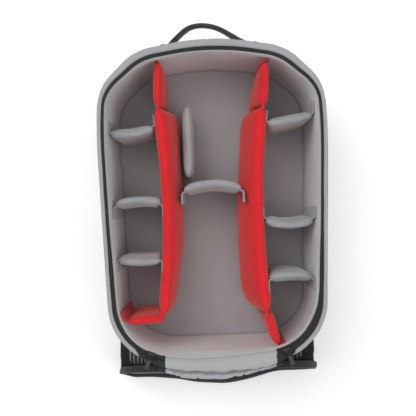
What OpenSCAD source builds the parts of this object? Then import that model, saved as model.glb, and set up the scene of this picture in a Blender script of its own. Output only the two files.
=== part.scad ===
// Rear-access camera backpack, lying on its front with the opening up and the
// harness panel folded round the bottom end and under the bag. Millimetres.
// +X is the width, +Y runs towards the carry handle, +Z is up out of the opening.

/* [Bag] */
// Half of the width at the widest place
half_w = 180; // [174:1:184]
// Half of the width at the bottom end
foot_half_w = 167.5; // [165:0.5:170]
// Distance from the origin to the crown of the top end
top_y = 262; // [258:1:266]
// Distance from the origin to the bottom end
foot_y = 248; // [244:1:250]
// Radius of the two bottom corners
foot_r = 95; // [92:1:98]
// Height of the rim above the floor
rim_z = 216; // [212:1:224]
// Thickness of the padded outer wall
wall_t = 8; // [7:0.5:9]
// Thickness of the inner lining with its foam
lining_t = 5; // [4:0.5:5]
// Height of the front panel's outer face above the floor
panel_z = 34; // [34:0.5:36]
// Thickness of the front panel
panel_t = 8; // [6:1:9]

/* [Lid] */
// Thickness of the lid's padding
lid_t = 20; // [18:1:20]
// Lean of the open lid away from the upright
lid_lean = 13.5; // [12:0.5:15]
// Height that the back pads stand proud of the lid
back_pad_t = 13.5; // [10:0.5:13.5]
// Height that the lumbar pad stands proud of the lid
lumbar_t = 10; // [7:1:10]
// Thickness of the shoulder straps
strap_t = 11.5; // [9:0.5:12]

/* [Dividers] */
// Height of the red dividers' top edge above the floor
red_top_z = 198; // [190:1:206]
// Height of the grey dividers' top edge above the floor
grey_top_z = 190; // [180:1:200]
// Thickness of a grey divider
grey_t = 12; // [9:1:13]
// Thickness of a hook-and-loop end tab
tab_t = 2.5; // [2:0.5:3]
// Length of a hook-and-loop end tab
tab_l = 15; // [10:1:16]

/* [Handle and zips] */
// Half of the handle's span
handle_half_w = 73; // [66:1:73]
// Reach of the handle from its hinge line
handle_reach = 42; // [36:1:46]
// Width of the handle's webbing
handle_web_w = 26; // [20:1:30]
// Angle of a parked zip slider past the bottom of its corner
slider_park_deg = 21; // [20:1:23]

/* [Hidden] */

outer_grey = [0.68, 0.68, 0.69];
lining_grey = [0.72, 0.72, 0.73];
divider_grey = [0.60, 0.59, 0.60];
red = [0.86, 0.12, 0.14];
black = [0.12, 0.12, 0.13];

facet_deg = 11;
big = 900;

// Heights
wall_z = panel_z + panel_t;
floor_t = 4;
inside_z = wall_z + floor_t;
band_z = rim_z - 12;
zip_z = rim_z - 4;
divider_z = inside_z + 1;

// Insets from the bag's outline
zip_inset = wall_t;
inner_inset = wall_t + lining_t;
pad_inset = inner_inset;
lid_inset = 2;
plateau_inset = inner_inset + 5;

// The lid's hinge line and fold line, given with the lid closed
hinge_y = -foot_y - 18.5;
hinge_z = rim_z + 1;
lid_open_deg = 270 - lid_lean;
fold_deg = 90 + lid_lean;
fold_reach = (hinge_z - lid_t - lid_t * sin(lid_lean)) / cos(lid_lean);
fold_y = hinge_y + fold_reach;
fold_z = hinge_z + lid_t;
fold_gap = 0.25;
plateau_t = 7.5;
half_zip_gap = 82;

// Corner points of the outline, each with the radius that rounds it
left_corners = [
    [-0.65 * half_w, top_y - 19.5, 90],
    [-half_w + 3.5, top_y - 77, 80],
    [-half_w, 110, 900],
    [-foot_half_w, -foot_y, foot_r]
];
right_corners = [for (i = [3:-1:0]) [-left_corners[i].x, left_corners[i].y, left_corners[i][2]]];
corners = concat([[0, top_y, 400]], left_corners, right_corners);

// Centres of the two bottom corners
side_lean = atan((half_w - foot_half_w) / (110 + foot_y));
foot_arc_x = foot_half_w + foot_r * (tan(side_lean) - 1 / cos(side_lean));
foot_arc_y = -foot_y + foot_r;

// The handle's hinge line
handle_y = top_y + 2;
handle_z = 120;

function unit(v) = v / norm(v);

// The arc that rounds corner i, on the outline moved in by d
function corner_arc(i, d) =
    let (
        n = len(corners),
        p = [corners[i].x, corners[i].y],
        r = corners[i][2],
        before = corners[(i + n - 1) % n],
        after = corners[(i + 1) % n],
        u = unit([before.x, before.y] - p),
        v = unit([after.x, after.y] - p),
        half = acos(u * v) / 2,
        inward = unit(u + v),
        centre = p + inward * r / sin(half),
        middle = atan2(-inward.y, -inward.x),
        turn = 180 - 2 * half,
        steps = max(2, ceil(turn / facet_deg))
    )
    [for (k = [0:steps])
        let (t = middle + turn * (k / steps - 0.5)) centre + (r - d) * [cos(t), sin(t)]];

function outline(d) = [for (i = [0:len(corners) - 1]) each corner_arc(i, d)];

// Half of the width inside the lining, along the side; it curves in above y = 110
function inner_x(y) =
    foot_half_w + (half_w - foot_half_w) * (min(y, 110) + foot_y) / (110 + foot_y)
    - pow(max(0, y - 110), 2) / 673 - inner_inset;

module slab(d, z0, z1) {
    translate([0, 0, z0])
        linear_extrude(z1 - z0)
            polygon(outline(d));
}

module wall_ring(d0, d1, z0, z1) {
    difference() {
        slab(d0, z0, z1);
        slab(d1, z0 - 1, z1 + 1);
    }
}

module box(x0, x1, y0, y1, z0, z1) {
    translate([x0, y0, z0])
        cube([x1 - x0, y1 - y0, z1 - z0]);
}

function round_rect(w, l, r) = [
    for (q = [0:3], k = [0:4])
        let (t = 90 * q + 22.5 * k, sx = (q == 0 || q == 3) ? 1 : -1, sy = q < 2 ? 1 : -1)
            [sx * (w / 2 - r) + r * cos(t), sy * (l / 2 - r) + r * sin(t)]
];

module round_box(x, y, w, l, r, z0, z1) {
    translate([x, y, z0])
        linear_extrude(z1 - z0)
            polygon(round_rect(w, l, r));
}

// ---- Body of the bag ----

module side_wall() {
    color(outer_grey)
        wall_ring(0, wall_t, wall_z, band_z);
}

module front_panel() {
    color(outer_grey)
        slab(0, panel_z, wall_z);
}

module rim_band() {
    color(outer_grey)
        wall_ring(0, wall_t, band_z, rim_z);
}

// The body's half of the zip stops at each side of the hinge gusset
module body_zip() {
    color(black)
        difference() {
            wall_ring(zip_inset, inner_inset, zip_z, rim_z);
            box(-half_zip_gap, half_zip_gap, -big, 0, zip_z - 1, rim_z + 1);
        }
}

module lining_wall() {
    color(lining_grey)
        wall_ring(wall_t, inner_inset, wall_z, zip_z);
}

module lining_floor() {
    color(lining_grey)
        slab(inner_inset, wall_z, inside_z);
}

module hinge_gusset() {
    color(lining_grey)
        box(-half_zip_gap, half_zip_gap, -foot_y - 2, -foot_y, rim_z - 24, rim_z - 4);
}

pocket_y0 = 45;
pocket_y1 = 238;
pocket_w = 230;

module front_pocket() {
    color(outer_grey)
        round_box(0, (pocket_y0 + pocket_y1) / 2, pocket_w, pocket_y1 - pocket_y0, 28, 0, panel_z);
}

module front_pocket_zip() {
    color(black)
        box(-84, 84, pocket_y1, pocket_y1 + 2, 13, 21);
}

// ---- Carry handle ----

anchor_x0 = handle_half_w + 1.5;
anchor_w = 17;

// Each anchor is a doubled web patch sewn to the top wall beside the handle's end
module handle_anchor(side) {
    difference() {
        box(
            side > 0 ? anchor_x0 : -anchor_x0 - anchor_w,
            side > 0 ? anchor_x0 + anchor_w : -anchor_x0,
            handle_y - 26, handle_y + 6, handle_z - 17, handle_z + 17
        );
        slab(0, handle_z - 18, handle_z + 18);
    }
}

module handle_anchor_left() {
    color(black)
        handle_anchor(-1);
}

module handle_anchor_right() {
    color(black)
        handle_anchor(1);
}

// A half loop, squarer than an ellipse
squareness = 0.85;
function half_loop(rx, ry, n) = [
    for (k = [0:n])
        let (t = 180 * k / n, c = cos(t))
            [rx * sign(c) * pow(abs(c), squareness), ry * pow(sin(t), squareness)]
];
function backwards(list) = [for (k = [len(list) - 1:-1:0]) list[k]];

module carry_handle() {
    web = 6.5;
    color(black)
        translate([0, handle_y, handle_z - handle_web_w / 2])
            linear_extrude(handle_web_w)
                polygon(concat(
                    half_loop(handle_half_w, handle_reach, 24),
                    backwards(half_loop(handle_half_w - web, handle_reach - web, 24))
                ));
}

// ---- Zip sliders and pulls ----

slider_r = foot_r - (zip_inset + inner_inset) / 2;

// Moves a slider drawn at the corner's centre, pointing outwards along +X, to its parked place
module parked(side) {
    translate([side * foot_arc_x, foot_arc_y, rim_z])
        rotate([0, 0, -90 + side * slider_park_deg])
            children();
}

module slider_body() {
    box(slider_r - 2.4, slider_r + 4.5, -8, 8, 0.4, 6.4);
}

module pull_body() {
    box(slider_r + 5.5, slider_r + 28.5, -3, 3, 1.4, 3.4);
}

module zip_slider_left() {
    color(black)
        parked(-1)
            slider_body();
}

module zip_slider_right() {
    color(black)
        parked(1)
            slider_body();
}

module zip_pull_left() {
    color(black)
        parked(-1)
            pull_body();
}

module zip_pull_right() {
    color(black)
        parked(1)
            pull_body();
}

module pocket_zip_slider() {
    color(black)
        box(-78, -64, pocket_y1 + 2.4, pocket_y1 + 7, 12, 22);
}

module pocket_zip_pull() {
    color(black)
        box(-73.5, -68.5, pocket_y1 + 8, pocket_y1 + 22.5, 16, 18);
}

// ---- Lid, drawn closed over the rim and then moved to where it lies ----

module lower_place() {
    translate([0, hinge_y, hinge_z])
        rotate([lid_open_deg, 0, 0])
            translate([0, -hinge_y, -hinge_z])
                children();
}

module upper_place() {
    lower_place()
        translate([0, fold_y, fold_z])
            rotate([fold_deg, 0, 0])
                translate([0, -fold_y, -fold_z])
                    children();
}

module below_fold() {
    intersection() {
        children();
        box(-big, big, -big, fold_y - fold_gap, hinge_z - 1, fold_z + 20);
    }
}

module above_fold() {
    intersection() {
        children();
        box(-big, big, fold_y + fold_gap, big, hinge_z - 1, fold_z + 20);
    }
}

module lid_pad() {
    slab(plateau_inset, hinge_z, hinge_z + plateau_t);
    slab(pad_inset, hinge_z + plateau_t, fold_z);
}

module lid_binding() {
    wall_ring(lid_inset, pad_inset, hinge_z + 8.5, fold_z - 1);
}

module lid_lower_pad() {
    color(lining_grey)
        lower_place()
            below_fold()
                lid_pad();
}

module lid_lower_binding() {
    color(black)
        lower_place()
            below_fold()
                lid_binding();
}

module lid_upper_pad() {
    color(lining_grey)
        upper_place()
            above_fold()
                lid_pad();
}

module lid_upper_binding() {
    color(black)
        upper_place()
            above_fold()
                lid_binding();
}

lumbar_y0 = hinge_y + 72;
lumbar_y1 = fold_y - 16;

module lumbar_pad() {
    color(black)
        lower_place()
            round_box(0, (lumbar_y0 + lumbar_y1) / 2, 220, lumbar_y1 - lumbar_y0, 24,
                fold_z, fold_z + lumbar_t);
}

back_y0 = fold_y + 20;
back_y1 = 165;

module back_pad(side) {
    upper_place()
        round_box(side * 41, (back_y0 + back_y1) / 2, 62, back_y1 - back_y0, 24,
            fold_z, fold_z + back_pad_t);
}

module back_pad_left() {
    color(black)
        back_pad(-1);
}

module back_pad_right() {
    color(black)
        back_pad(1);
}

strap_y0 = -20;
strap_y1 = 168;
strap_w = 42;

// A shoulder strap bows outwards in the middle
function strap_edge(x0) = [
    for (k = [0:10])
        let (s = k / 10) [x0 + 9 * sin(180 * s), strap_y0 + (strap_y1 - strap_y0) * s]
];

module shoulder_strap(side) {
    upper_place()
        translate([0, 0, fold_z])
            mirror([side < 0 ? 1 : 0, 0, 0])
                linear_extrude(strap_t)
                    polygon(concat(strap_edge(80 + strap_w), backwards(strap_edge(80))));
}

module shoulder_strap_left() {
    color(black)
        shoulder_strap(-1);
}

module shoulder_strap_right() {
    color(black)
        shoulder_strap(1);
}

module strap_yoke() {
    color(black)
        upper_place()
            round_box(0, 193, 180, 42, 12, fold_z, fold_z + 6);
}

module strap_buckles() {
    color(black)
        upper_place()
            for (side = [-1, 1])
                box(side * 101 - 15, side * 101 + 15, strap_y0 - 17, strap_y0 - 1, fold_z, fold_z + 6);
}

module strap_webbing() {
    color(black)
        upper_place()
            for (side = [-1, 1])
                box(side * 101 - 12.5, side * 101 + 12.5, strap_y0 - 36, strap_y0 - 18,
                    fold_z, fold_z + 2);
}

// ---- Red dividers ----

// [side, outer face at mid-length, bow of that face, inner face at mid-length,
//  bow of that face, y at mid-length, lower end, upper end]
red_left = [-1, 82, 12, 54, 14, -8, -173, 157];
red_right = [1, 77.5, 10.5, 49, 8, -20, -175, 152];
red_half_l = 165;

function red_outer(r, y) = r[1] + r[2] * pow((y - r[5]) / red_half_l, 2);
function red_inner(r, y) =
    min(red_outer(r, y) - 13, r[3] + r[4] * pow((y - r[5]) / red_half_l, 4));
function red_stations(r) = [for (k = [0:12]) r[6] + (r[7] - r[6]) * k / 12];

module red_main(r) {
    stations = red_stations(r);
    translate([0, 0, divider_z])
        linear_extrude(red_top_z - divider_z)
            polygon(concat(
                [for (y = stations) [r[0] * red_outer(r, y), y]],
                backwards([for (y = stations) [r[0] * red_inner(r, y), y]])
            ));
}

// A straight upright panel between two plan points
module straight_panel(a, b, t, top_z) {
    along = b - a;
    translate([a.x, a.y, divider_z])
        rotate([0, 0, atan2(along.y, along.x)])
            translate([0, -t / 2, 0])
                cube([norm(along), t, top_z - divider_z]);
}

module red_left_main() {
    color(red)
        red_main(red_left);
}

module red_left_top() {
    color(red) {
        straight_panel([-81, 160], [-80, 227], 12, red_top_z);
        straight_panel([-74, 231], [-90, 229.5], tab_t, red_top_z);
    }
}

module red_left_foot() {
    color(red) {
        straight_panel([-85, -180.5], [-144, -183], 10, red_top_z);
        straight_panel([-147.5, -183], [-151.5, -167], tab_t, red_top_z);
    }
}

module red_right_main() {
    color(red)
        red_main(red_right);
}

module red_right_top() {
    color(red) {
        straight_panel([81.5, 155], [86.5, 223], 12, red_top_z);
        straight_panel([80, 228], [96, 225.5], tab_t, red_top_z);
    }
}

module red_right_foot() {
    color(red) {
        straight_panel([78.5, -178], [93, -226], 12, red_top_z);
        straight_panel([92.5, -230.3], [109, -225], tab_t, red_top_z);
    }
}

// ---- Grey dividers ----

// A padded panel from a to b, bowed sideways by rise, with an end tab turned along Y at each end
module grey_divider(a, b, rise, tab_a, tab_b, top_z) {
    along = b - a;
    across = unit([-along.y, along.x]);
    middle = [for (k = [0:10]) let (s = k / 10) a + along * s + across * rise * 4 * s * (1 - s)];
    translate([0, 0, divider_z])
        linear_extrude(top_z - divider_z)
            polygon(concat(
                [for (p = middle) p - across * grey_t / 2],
                backwards([for (p = middle) p + across * grey_t / 2])
            ));
    end_tab(a, tab_a, top_z);
    end_tab(b, tab_b, top_z);
}

// The tab starts at the panel's side face and lies against the neighbouring wall
module end_tab(p, turn, top_z) {
    half = grey_t / 2;
    if (turn > 0)
        box(p.x - tab_t / 2, p.x + tab_t / 2, p.y + half - 1, p.y + half + tab_l, divider_z, top_z - 2);
    if (turn < 0)
        box(p.x - tab_t / 2, p.x + tab_t / 2, p.y - half - tab_l, p.y - half + 1, divider_z, top_z - 2);
}

side_gap = 1.75;
red_gap = side_gap + 0.8;

// A divider of a side column, from the lining to the red divider
module column_divider(r, y_wall, y_red, rise, turn) {
    x_wall = min(inner_x(y_wall), inner_x(y_wall + 20 * turn)) - side_gap;
    x_red = max(red_outer(r, y_red - 20), red_outer(r, y_red + 20)) + red_gap;
    if (r[0] < 0)
        grey_divider([-x_wall, y_wall], [-x_red, y_red], rise, turn, turn, grey_top_z);
    else
        grey_divider([x_red, y_red], [x_wall, y_wall], rise, turn, turn, grey_top_z);
}

module left_divider_top() {
    color(divider_grey)
        column_divider(red_left, 118, 126, -3, 1);
}

module left_divider_middle() {
    color(divider_grey)
        column_divider(red_left, 2, 4, 5, -1);
}

module left_divider_bottom() {
    color(divider_grey)
        column_divider(red_left, -84, -87, -3, -1);
}

module right_divider_top() {
    color(divider_grey)
        column_divider(red_right, 139, 127, -1, 1);
}

module right_divider_middle() {
    color(divider_grey)
        column_divider(red_right, -29, -27, -7, 1);
}

module right_divider_bottom() {
    color(divider_grey)
        column_divider(red_right, -124, -123, 4, -1);
}

module centre_divider_cross() {
    color(divider_grey)
        grey_divider([-51.2, 22], [47.3, 22], 9, -1, -1, grey_top_z);
}

module centre_divider_long() {
    color(divider_grey)
        round_box(-40, 104, 12, 122, 5.5, divider_z, grey_top_z - 30);
}

side_wall();
front_panel();
rim_band();
body_zip();
lining_wall();
lining_floor();
hinge_gusset();
front_pocket();
front_pocket_zip();
handle_anchor_left();
handle_anchor_right();
carry_handle();
zip_slider_left();
zip_pull_left();
zip_slider_right();
zip_pull_right();
pocket_zip_slider();
pocket_zip_pull();
lid_lower_pad();
lid_lower_binding();
lumbar_pad();
lid_upper_pad();
lid_upper_binding();
back_pad_left();
back_pad_right();
shoulder_strap_left();
shoulder_strap_right();
strap_yoke();
strap_buckles();
strap_webbing();
red_left_main();
red_left_top();
red_left_foot();
red_right_main();
red_right_top();
red_right_foot();
left_divider_top();
left_divider_middle();
left_divider_bottom();
right_divider_top();
right_divider_middle();
right_divider_bottom();
centre_divider_cross();
centre_divider_long();
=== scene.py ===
import math

import bmesh
import bpy
import numpy as np
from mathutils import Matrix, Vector, noise


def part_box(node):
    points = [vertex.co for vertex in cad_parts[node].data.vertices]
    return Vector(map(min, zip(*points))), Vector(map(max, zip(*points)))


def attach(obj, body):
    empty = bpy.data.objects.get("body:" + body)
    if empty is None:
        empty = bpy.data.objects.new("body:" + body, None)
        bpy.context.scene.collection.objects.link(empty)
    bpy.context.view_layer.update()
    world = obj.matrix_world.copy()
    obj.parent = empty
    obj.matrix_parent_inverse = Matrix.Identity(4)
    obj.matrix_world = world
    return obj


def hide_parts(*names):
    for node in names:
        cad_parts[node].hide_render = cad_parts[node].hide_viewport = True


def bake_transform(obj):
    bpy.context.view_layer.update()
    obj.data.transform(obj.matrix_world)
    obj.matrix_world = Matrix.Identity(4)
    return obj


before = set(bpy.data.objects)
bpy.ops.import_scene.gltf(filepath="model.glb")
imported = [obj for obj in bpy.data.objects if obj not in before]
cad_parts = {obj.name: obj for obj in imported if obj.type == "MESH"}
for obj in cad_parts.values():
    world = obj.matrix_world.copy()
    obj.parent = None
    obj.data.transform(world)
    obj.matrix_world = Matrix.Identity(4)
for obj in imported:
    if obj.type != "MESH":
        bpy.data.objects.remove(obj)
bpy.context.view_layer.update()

# A rear-access camera backpack that lies open on its front. Sizes here are in millimetres,
# and mesh_object() turns them into metres.
MM = 0.001


def cad(node):
    """A CAD node's lowest and highest corners, in millimetres."""
    low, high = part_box(node)
    return [v / MM for v in low], [v / MM for v in high]


# ---- Sizes shared with the CAD parts ----

HALF_W = 180
FOOT_HALF_W = 167.5
TOP_Y = 262
FOOT_Y = 248
FOOT_R = 95
RIM_Z = cad("rim_band")[1][2]
BAND_Z = cad("rim_band")[0][2]
PANEL_Z = cad("front_panel")[0][2]
FLOOR_Z = cad("lining_floor")[1][2]
WALL_T = 8
INNER_INSET = 13
RED_TOP_Z = cad("red_left_main")[1][2]
GREY_TOP_Z = cad("left_divider_top")[1][2]
LONG_TOP_Z = cad("centre_divider_long")[1][2]
DIVIDER_Z = cad("red_left_main")[0][2]
LID_T = 20
LEAN = math.radians(13.5)
HINGE_Y = -FOOT_Y - 18.5
HINGE_Z = RIM_Z + 1
FOLD_REACH = (HINGE_Z - LID_T - LID_T * math.sin(LEAN)) / math.cos(LEAN)
FOLD_Y = HINGE_Y + FOLD_REACH
FOLD_Z = HINGE_Z + LID_T
GUSSET_X = (-85, 90)
FOOT_STRAIGHT = 132
SIDE_LEAN = math.atan((HALF_W - FOOT_HALF_W) / (110 + FOOT_Y))
ARC_X = FOOT_HALF_W + FOOT_R * (math.tan(SIDE_LEAN) - 1 / math.cos(SIDE_LEAN))
ARC_Y = -FOOT_Y + FOOT_R
PARK_DEG = 21

SIDE_CORNERS = [
    (0.65 * HALF_W, TOP_Y - 19.5, 90),
    (HALF_W - 3.5, TOP_Y - 77, 80),
    (HALF_W, 110, 900),
    (FOOT_HALF_W, -FOOT_Y, FOOT_R),
]
BAG_CORNERS = (
    [(0, TOP_Y, 400)]
    + [(-x, y, r) for x, y, r in SIDE_CORNERS]
    + [(x, y, r) for x, y, r in reversed(SIDE_CORNERS)]
)

# ---- Geometry helpers ----


def rounded_plan(corners, count):
    """Even points and outward normals round a convex plan whose corners are (x, y, radius)."""
    dense = []
    for i, (x, y, r) in enumerate(corners):
        p = np.array([x, y], float)
        u = np.array(corners[i - 1][:2], float) - p
        v = np.array(corners[(i + 1) % len(corners)][:2], float) - p
        u, v = u / np.linalg.norm(u), v / np.linalg.norm(v)
        inward = (u + v) / np.linalg.norm(u + v)
        half = math.acos(np.clip(u @ v, -1, 1)) / 2
        centre = p + inward * r / math.sin(half)
        middle = math.atan2(-inward[1], -inward[0])
        turn = math.pi - 2 * half
        for k in np.linspace(-0.5, 0.5, max(8, int(math.degrees(turn)))):
            t = middle + turn * k
            dense.append(centre + r * np.array([math.cos(t), math.sin(t)]))
    points = resample(np.array(dense), count, closed=True)
    tangent = np.roll(points, -1, axis=0) - np.roll(points, 1, axis=0)
    tangent /= np.linalg.norm(tangent, axis=1)[:, None]
    return points, np.stack([tangent[:, 1], -tangent[:, 0]], axis=1)


def resample(points, count, closed=False):
    """The same line with count evenly spaced points."""
    line = np.vstack([points, points[:1]]) if closed else points
    length = np.concatenate([[0], np.cumsum(np.linalg.norm(np.diff(line, axis=0), axis=1))])
    want = np.linspace(0, length[-1], count, endpoint=not closed)
    return np.stack([np.interp(want, length, line[:, k]) for k in range(line.shape[1])], axis=1)


def from_foot(points, normals):
    """The same closed plan, starting at the middle of the bottom end."""
    start = int(np.argmin(np.where(points[:, 1] < 0, abs(points[:, 0]), 1e9)))
    return np.roll(points, -start, axis=0), np.roll(normals, -start, axis=0)


def ripple(points, wavelength, seed=0.0):
    """Smooth noise from -1 to 1 at points of shape (..., 3), the same on each run."""
    flat = np.asarray(points, float).reshape(-1, 3) / wavelength + seed
    values = np.array([noise.noise(Vector(p)) for p in flat])
    return values.reshape(np.asarray(points).shape[:-1])


def mesh_object(name, vertices, faces, materials):
    mesh = bpy.data.meshes.new(name)
    mesh.from_pydata((np.asarray(vertices, float) * MM).tolist(), [], faces)
    mesh.validate()
    for material in materials if isinstance(materials, (list, tuple)) else [materials]:
        mesh.materials.append(material)
    mesh.polygons.foreach_set("use_smooth", [True] * len(mesh.polygons))
    mesh.update()
    piece = bpy.data.objects.new(name, mesh)
    bpy.context.scene.collection.objects.link(piece)
    bm = bmesh.new()
    bm.from_mesh(mesh)
    bmesh.ops.recalc_face_normals(bm, faces=bm.faces)
    bm.to_mesh(mesh)
    bm.free()
    return piece


def loft_faces(rings, size, closed_path, offset=0):
    """Quads between closed rings of points, and a cap at each end of an open path."""
    faces = []
    for i in range(rings if closed_path else rings - 1):
        a, b = offset + i * size, offset + ((i + 1) % rings) * size
        for k in range(size):
            n = (k + 1) % size
            faces.append((a + k, a + n, b + n, b + k))
    if not closed_path:
        faces.append(tuple(offset + k for k in reversed(range(size))))
        faces.append(tuple(offset + (rings - 1) * size + k for k in range(size)))
    return faces


def settle(piece, body, slot, *nodes, fill=None):
    """Puts a piece on the body it rides on and hides the CAD nodes it replaces. slot and fill are not used.
    """
    if body:
        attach(piece, body)
    if nodes:
        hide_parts(*nodes)
    return piece


def loft(name, rings, materials, body, slot, *nodes, closed_path=False, fill=None):
    """One piece through rings of points, an array of shape (rings, points, 3)."""
    rings = np.asarray(rings, float)
    faces = loft_faces(rings.shape[0], rings.shape[1], closed_path)
    piece = mesh_object(name, rings.reshape(-1, 3), faces, materials)
    return settle(piece, body, slot, *nodes, fill=fill)


def joined(name, parts, materials, body, slot, *nodes):
    """One piece from several lofts with open paths, each given by its rings."""
    vertices, faces = [], []
    for rings in parts:
        rings = np.asarray(rings, float)
        faces += loft_faces(rings.shape[0], rings.shape[1], False, len(vertices))
        vertices += rings.reshape(-1, 3).tolist()
    return settle(mesh_object(name, vertices, faces, materials), body, slot, *nodes)


def smooth_line(points, count):
    """A soft curve near a few points: their line, evened out."""
    line = resample(np.asarray(points, float), count)
    for _ in range(count // 3):
        line[1:-1] = (line[:-2] + 2 * line[1:-1] + line[2:]) / 4
    return line


def squircle(width, height, power=4.0, count=24):
    """Points round a soft rectangle centred on the origin."""
    t = np.linspace(0, 2 * math.pi, count, endpoint=False) + math.pi / count
    c, s = np.cos(t), np.sin(t)
    x = np.sign(c) * abs(c) ** (2 / power) * width / 2
    y = np.sign(s) * abs(s) ** (2 / power) * height / 2
    return np.stack([x, y], axis=1)


def along_plan(points, normals, profile):
    """Rings of profile points (inset, z) at each point of a plan, from one profile or one each."""
    profile = np.broadcast_to(profile, (len(points),) + np.shape(profile)[-2:])
    rings = np.empty(profile.shape[:2] + (3,))
    rings[:, :, :2] = points[:, None, :] - normals[:, None, :] * profile[:, :, 0, None]
    rings[:, :, 2] = profile[:, :, 1]
    return rings


def directions(path):
    """Unit tangents of a line of points."""
    tangent = np.gradient(path, axis=0)
    return tangent / np.linalg.norm(tangent, axis=1)[:, None]


def tube(path, radius, count=8, flat=1.0, up=(0, 0, 1)):
    """Rings of a round or flattened tube along a path of points."""
    path = np.asarray(path, float)
    tangent = directions(path)
    side = np.cross(tangent, np.array(up, float))
    side /= np.maximum(np.linalg.norm(side, axis=1), 1e-9)[:, None]
    top = np.cross(side, tangent)
    t = np.linspace(0, 2 * math.pi, count, endpoint=False)
    ring = side[:, None, :] * np.cos(t)[None, :, None] * radius
    return path[:, None, :] + ring + top[:, None, :] * np.sin(t)[None, :, None] * radius * flat


def web(path, width_axis, width, thickness, count=20, power=5.0):
    """Rings of flat webbing along a path; width_axis is the direction of its width."""
    path = np.asarray(path, float)
    tangent = directions(path)
    width_axis = np.array(width_axis, float)
    across = width_axis[None, :] - tangent * (tangent @ width_axis)[:, None]
    across /= np.linalg.norm(across, axis=1)[:, None]
    thick = np.cross(tangent, across)
    ring = squircle(1, 1, power, count)
    width = np.broadcast_to(width, len(path))[:, None, None]
    thickness = np.broadcast_to(thickness, len(path))[:, None, None]
    return (
        path[:, None, :]
        + across[:, None, :] * ring[None, :, 0, None] * width
        + thick[:, None, :] * ring[None, :, 1, None] * thickness
    )


def pad_rings(points, normals, low, high, radius, crown_low=0.0, crown_high=0.0, steps=7):
    """Rings of a closed pad on a plan: flat or crowned faces and a rounded edge."""
    centre = points.mean(axis=0)
    inner = points - normals * radius
    rings = []

    def add(plan, z):
        ring = np.empty((len(points), 3))
        ring[:, :2] = plan
        ring[:, 2] = z
        rings.append(ring)

    shares = np.linspace(0.03, 1, steps)
    for t in shares:
        add(centre + (inner - centre) * t, low - crown_low * (1 - t * t))
    middle = (low + high) / 2
    half = (high - low) / 2
    for a in np.linspace(-90, 90, 9)[1:-1]:
        a = math.radians(a)
        add(inner + normals * radius * math.cos(a), middle + half * math.sin(a))
    for t in shares[::-1]:
        add(centre + (inner - centre) * t, high + crown_high * (1 - t * t))
    return np.array(rings)


def turned(rings, *moves):
    """Rotates points about lines along X, each move being (y, z, angle)."""
    rings = np.array(rings, float)
    for y, z, angle in moves:
        c, s = math.cos(angle), math.sin(angle)
        dy, dz = rings[..., 1] - y, rings[..., 2] - z
        rings[..., 1], rings[..., 2] = y + dy * c - dz * s, z + dy * s + dz * c
    return rings


OPEN = (HINGE_Y, HINGE_Z, math.radians(270) - LEAN)
FOLD = (FOLD_Y, FOLD_Z, math.radians(90) + LEAN)


def on_lower(rings):
    """From the closed lid's frame to where the lower half of the lid lies."""
    return turned(rings, OPEN)


def on_upper(rings):
    """From the closed lid's frame to where the upper half of the lid lies."""
    return turned(rings, FOLD, OPEN)


# ---- Materials ----


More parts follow.
